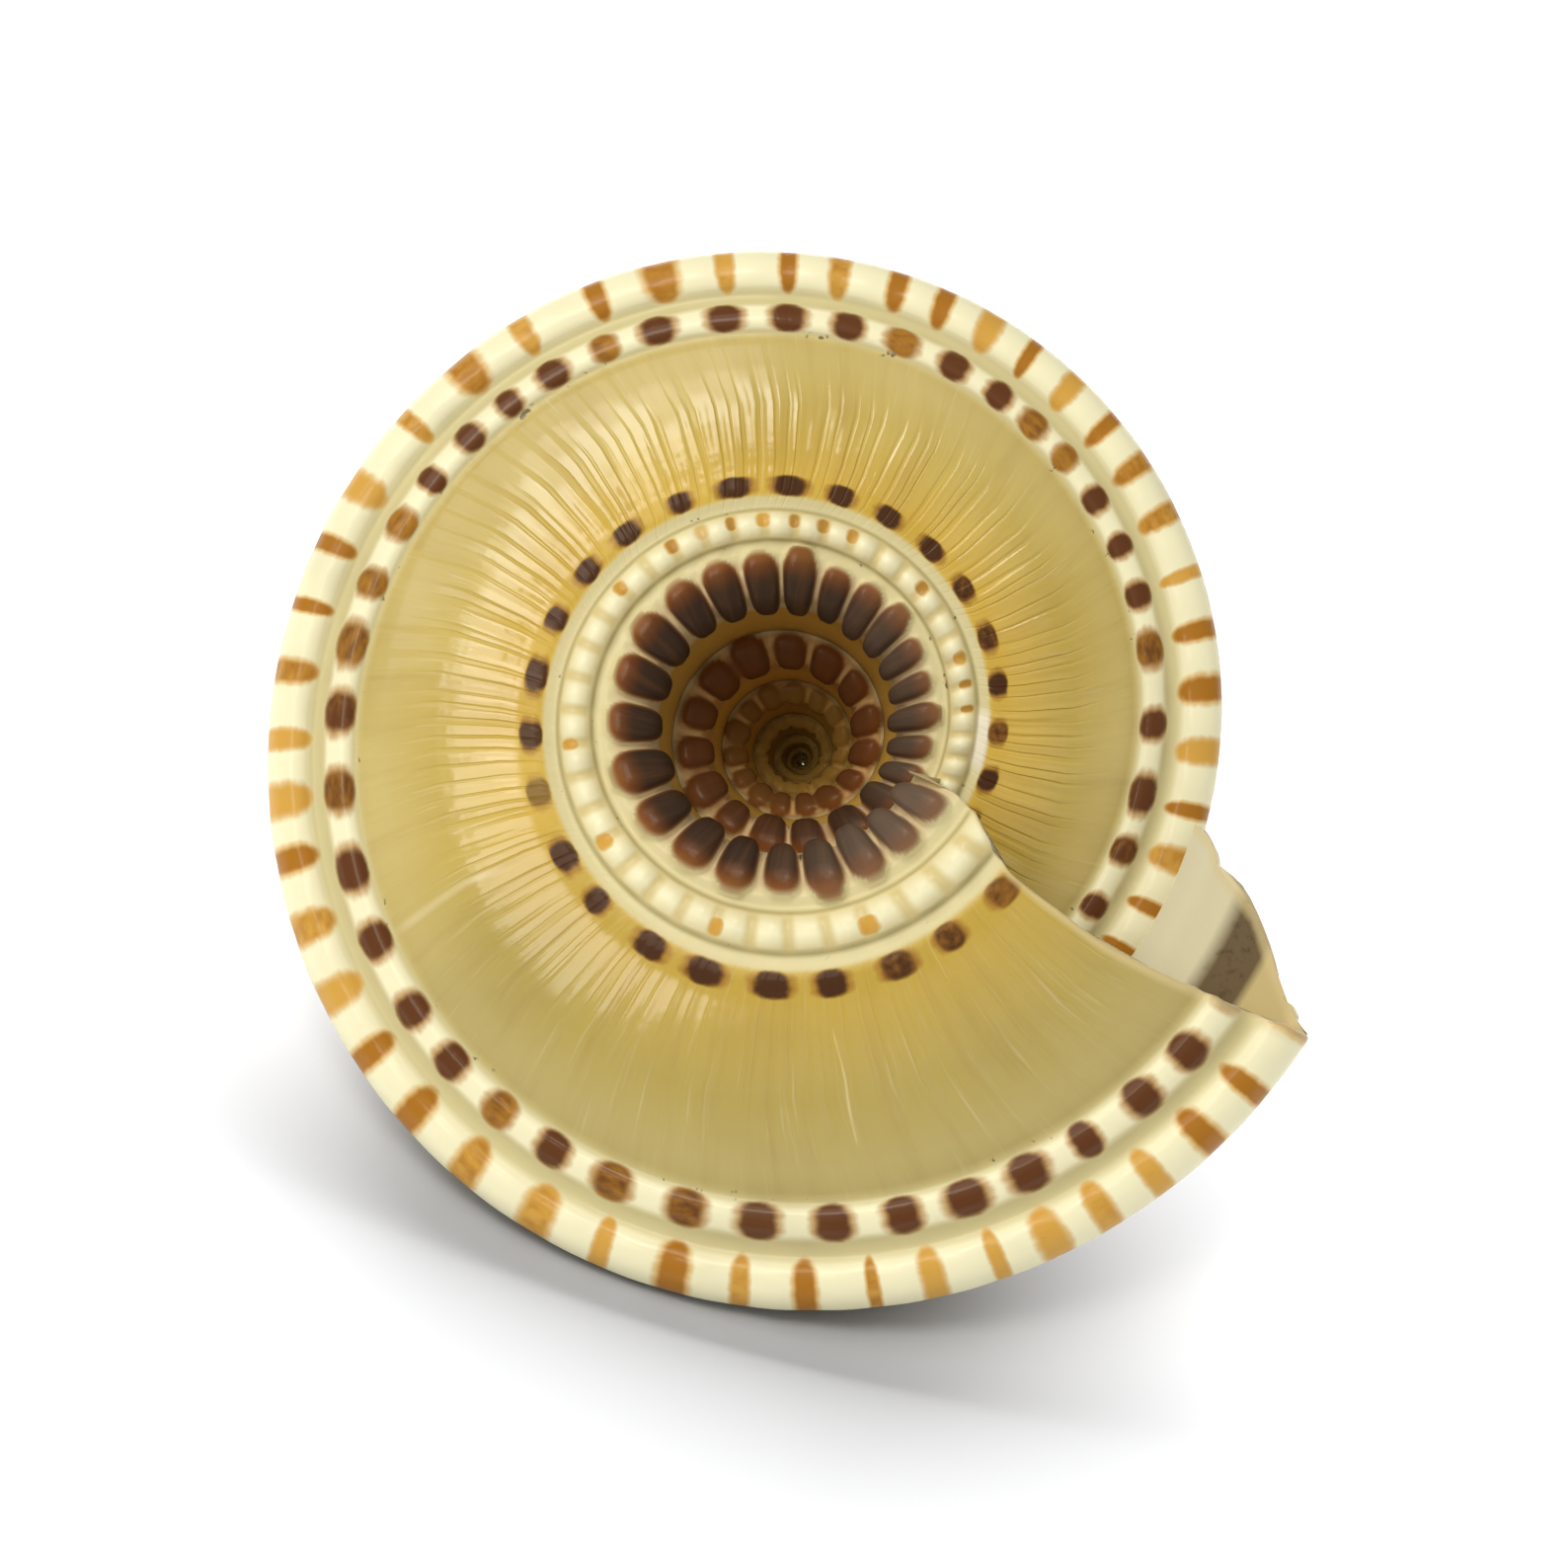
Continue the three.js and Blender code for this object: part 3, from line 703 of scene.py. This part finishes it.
def ridgeRelief(nodes, at):
    # growth ridges on the inner half of the base: a bump, and the polish that their furrows break
    along = nodes.scaled(at["straying"], ridges["waver"], nodes.product(at["growth"], ridges["count"]))
    profile = nodes.math("PINGPONG", along, 0.5)
    depth = nodes.scaled(at["ridgeHeight"], 1.2, 0.05)
    end = nodes.scaled(nodes.random(nodes.math("FLOOR", along)), -ridges["reachSpread"], at["across"])
    beyond = nodes.step(end, ridges["reach"], ridges["reach"] + 0.05)
    furrow = nodes.product(nodes.step(profile, 0.17, 0.09), nodes.step(depth, 0.45, 0.75),
                           nodes.scaled(at["young"], -0.6, 1.0))
    polish = nodes.product(nodes.scaled(beyond, -0.5, 1.0), nodes.scaled(furrow, -ridges["dullness"], 1.0))

    terraces = nodes.scaled(nodes.step(profile, 0.02, 0.2), depth, nodes.product(at["broken"], 0.3))
    strength = nodes.product(zone(nodes, at, "ridges"), nodes.scaled(at["young"], -0.75, 1.0))
    strength = nodes.scaled(strength, 0.95, 0.05)
    height = nodes.total(nodes.product(terraces, strength), nodes.product(at["fineLines"], 0.05))
    bump = nodes.add("ShaderNodeBump", {"Height": height, "Strength": 1.0, "Distance": ridges["depth"]})
    return bump.outputs[0], polish


def coatWeight(nodes, at, polish):
    # strong on the base where it is polished, weaker on the cords, none deep in the umbilicus
    coat = nodes.mixNumber(zone(nodes, at, "cords"), gloss["coatInWell"], gloss["coatOnCords"])
    coat = nodes.mixNumber(zone(nodes, at, "polished"), coat, nodes.product(polish, gloss["coatOnBase"]))
    bottom = nodes.product(nodes.step(at["across"], 0.9, 0.8), nodes.step(at["turns"], 2.5, 3.5))
    wall = nodes.step(at["across"], 0.0, -0.4)
    return nodes.mixNumber(nodes.math("MAXIMUM", bottom, wall), coat, 0.0)


def shellMaterial():
    # one material for the whole shell, from what the mesh stores at each point
    material = bpy.data.materials.new("shellSkin")
    material.use_nodes = True
    material.node_tree.nodes.clear()
    nodes = Nodes(material.node_tree)
    at = readSurface(nodes)
    shade = addGrowthLines(nodes, at, baseColours(nodes, at))
    gaps = nodes.step(nodes.math("PINGPONG", at["bead"], 0.5), 0.28, 0.05)
    shade = nodes.mix(nodes.product(gaps, zone(nodes, at, "beads"), 0.75), shade, skin["beadGap"])
    for addLayer in (addSpots, addTeeth, addDirt, addInside):
        shade = addLayer(nodes, at, shade)
    normal, polish = ridgeRelief(nodes, at)
    surface = nodes.add("ShaderNodeBsdfPrincipled", {
        "Base Color": shade, "Normal": normal, "Coat Normal": normal, "IOR": gloss["ior"],
        "Roughness": nodes.scaled(at["fineLines"], 0.16, gloss["roughness"] - 0.08),
        "Specular IOR Level": gloss["specular"], "Specular Tint": gloss["specularTint"],
        "Coat Weight": coatWeight(nodes, at, polish), "Coat Roughness": gloss["coatRoughness"]})
    nodes.add("ShaderNodeOutputMaterial", {"Surface": surface.outputs[0]})
    print("material:", len(material.node_tree.nodes), "nodes")
    return material


shell = buildShell()
shell.data.materials.append(shellMaterial())
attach(shell, "root")
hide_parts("shell")

# camera: where the photograph was taken from, in the shell's own frame
view = {
    "lens": 167.0, "sensor": 36.0, "distance": 320.0, "aim": (0.0, 0.0, 23.02),
    "towards": (0.0461, -0.0642, 1.0), "offset": (-0.174, 2.43),
}


def placeCamera():
    # stands at the distance from the point that it aims at, moved so that the axis is off the middle
    back = np.array(view["towards"]) / np.linalg.norm(view["towards"])
    right = np.array([1.0, 0, 0]) - back * back[0]
    right /= np.linalg.norm(right)
    up = np.cross(back, right)
    spot = np.array(view["aim"]) + back * view["distance"]
    spot = spot - right * view["offset"][0] - up * view["offset"][1]
    turn = Matrix((rest @ np.stack([right, up, back], 1)).tolist()).to_4x4()
    data = bpy.data.cameras.new("camera")
    data.lens, data.sensor_width, data.clip_start = view["lens"], view["sensor"], 0.01
    camera = bpy.data.objects.new("camera", data)
    camera.matrix_world = Matrix.Translation(Vector(toFrame(spot))) @ turn
    bpy.context.scene.collection.objects.link(camera)
    bpy.context.scene.camera = camera
    print("camera at", [round(x, 4) for x in camera.location])


lights = {   # width and height in degrees as the shell sees them, where they stand, radiance
    "window": {"right": -7, "up": 26, "wide": 22, "tall": 18, "radiance": 6.5, "tint": (1, 0.95, 0.85)},
    "side": {"right": -17, "up": 8, "wide": 12, "tall": 20, "radiance": 5.5, "tint": (1, 0.95, 0.85)},
    "fill": {"right": 2, "up": -4, "wide": 34, "tall": 34, "radiance": 0.35, "tint": (1, 1, 1)},
    "sky": {"right": -22, "up": 38, "wide": 44, "tall": 34, "radiance": 2.6, "tint": (1, 1, 1)},
}
lampDistance = 0.5
shellMiddle = (0, 0, 0.012)
floorLook = {"colour": (0.32, 0.324, 0.333, 1), "roughness": 0.9, "specular": 0.1, "half": 2, "sky": 0.34}
backLight = {"towards": (-0.03, 0.82, 0.57), "distance": 0.6, "wide": 0.9, "tall": 0.36, "power": 28.0}


def panel(name, turn, away, wide, tall, power, tint=(1, 1, 1), distance=lampDistance):
    # rectangular lamp that faces the shell's middle from a direction
    data = bpy.data.lights.new(name, "AREA")
    data.shape, data.size, data.size_y = "RECTANGLE", wide, tall
    data.energy, data.color = power, tint
    lamp = bpy.data.objects.new(name, data)
    lamp.matrix_world = Matrix.Translation(Vector(shellMiddle) + away * distance) @ turn.to_4x4()
    bpy.context.scene.collection.objects.link(lamp)
    return lamp


def placeLights():
    # windows stand off the shell's axis by some degrees to the right and up, as the base is seen;
    # power = pi * area * radiance
    for name, lamp in lights.items():
        back = np.array([math.tan(math.radians(lamp["right"])), math.tan(math.radians(lamp["up"])), 1.0])
        back /= np.linalg.norm(back)
        right = np.array([1.0, 0, 0]) - back * back[0]
        right /= np.linalg.norm(right)
        turn = Matrix((rest @ np.stack([right, np.cross(back, right), back], 1)).tolist())
        wide, tall = (lampDistance * math.radians(lamp[key]) for key in ("wide", "tall"))
        power = math.pi * wide * tall * lamp["radiance"]
        panel(name, turn, Vector(rest @ back), wide, tall, power, lamp["tint"])
    away = Vector(backLight["towards"]).normalized()
    turn = away.to_track_quat("Z", "Y").to_matrix()
    lamp = panel("back", turn, away, backLight["wide"], backLight["tall"], backLight["power"],
                 distance=backLight["distance"])
    lamp.light_linking.receiver_collection = bpy.data.collections["stage"]    # lights only the floor
    print("lamps:", len(lights) + 1)


def buildStage():
    # a wide pale floor at height 0 under an even white sky
    mesh = bpy.data.meshes.new("floor")
    half = floorLook["half"]
    corners = [(-half, -half, 0), (half, -half, 0), (half, half, 0), (-half, half, 0)]
    mesh.from_pydata(corners, [], [(0, 1, 2, 3)])
    floor = bpy.data.objects.new("floor", mesh)
    material = bpy.data.materials.new("floor")
    material.use_nodes = True
    sockets = material.node_tree.nodes["Principled BSDF"].inputs
    sockets["Base Color"].default_value = floorLook["colour"]
    sockets["Roughness"].default_value = floorLook["roughness"]
    sockets["Specular IOR Level"].default_value = floorLook["specular"]
    mesh.materials.append(material)
    stage = bpy.data.collections.new("stage")
    bpy.context.scene.collection.children.link(stage)
    stage.objects.link(floor)
    world = bpy.data.worlds.new("world")
    world.use_nodes = True
    sky = world.node_tree.nodes["Background"].inputs
    sky["Color"].default_value = (1, 1, 1, 1)
    sky["Strength"].default_value = floorLook["sky"]
    bpy.context.scene.world = world
    print("floor and sky")


placeCamera()
buildStage()
placeLights()
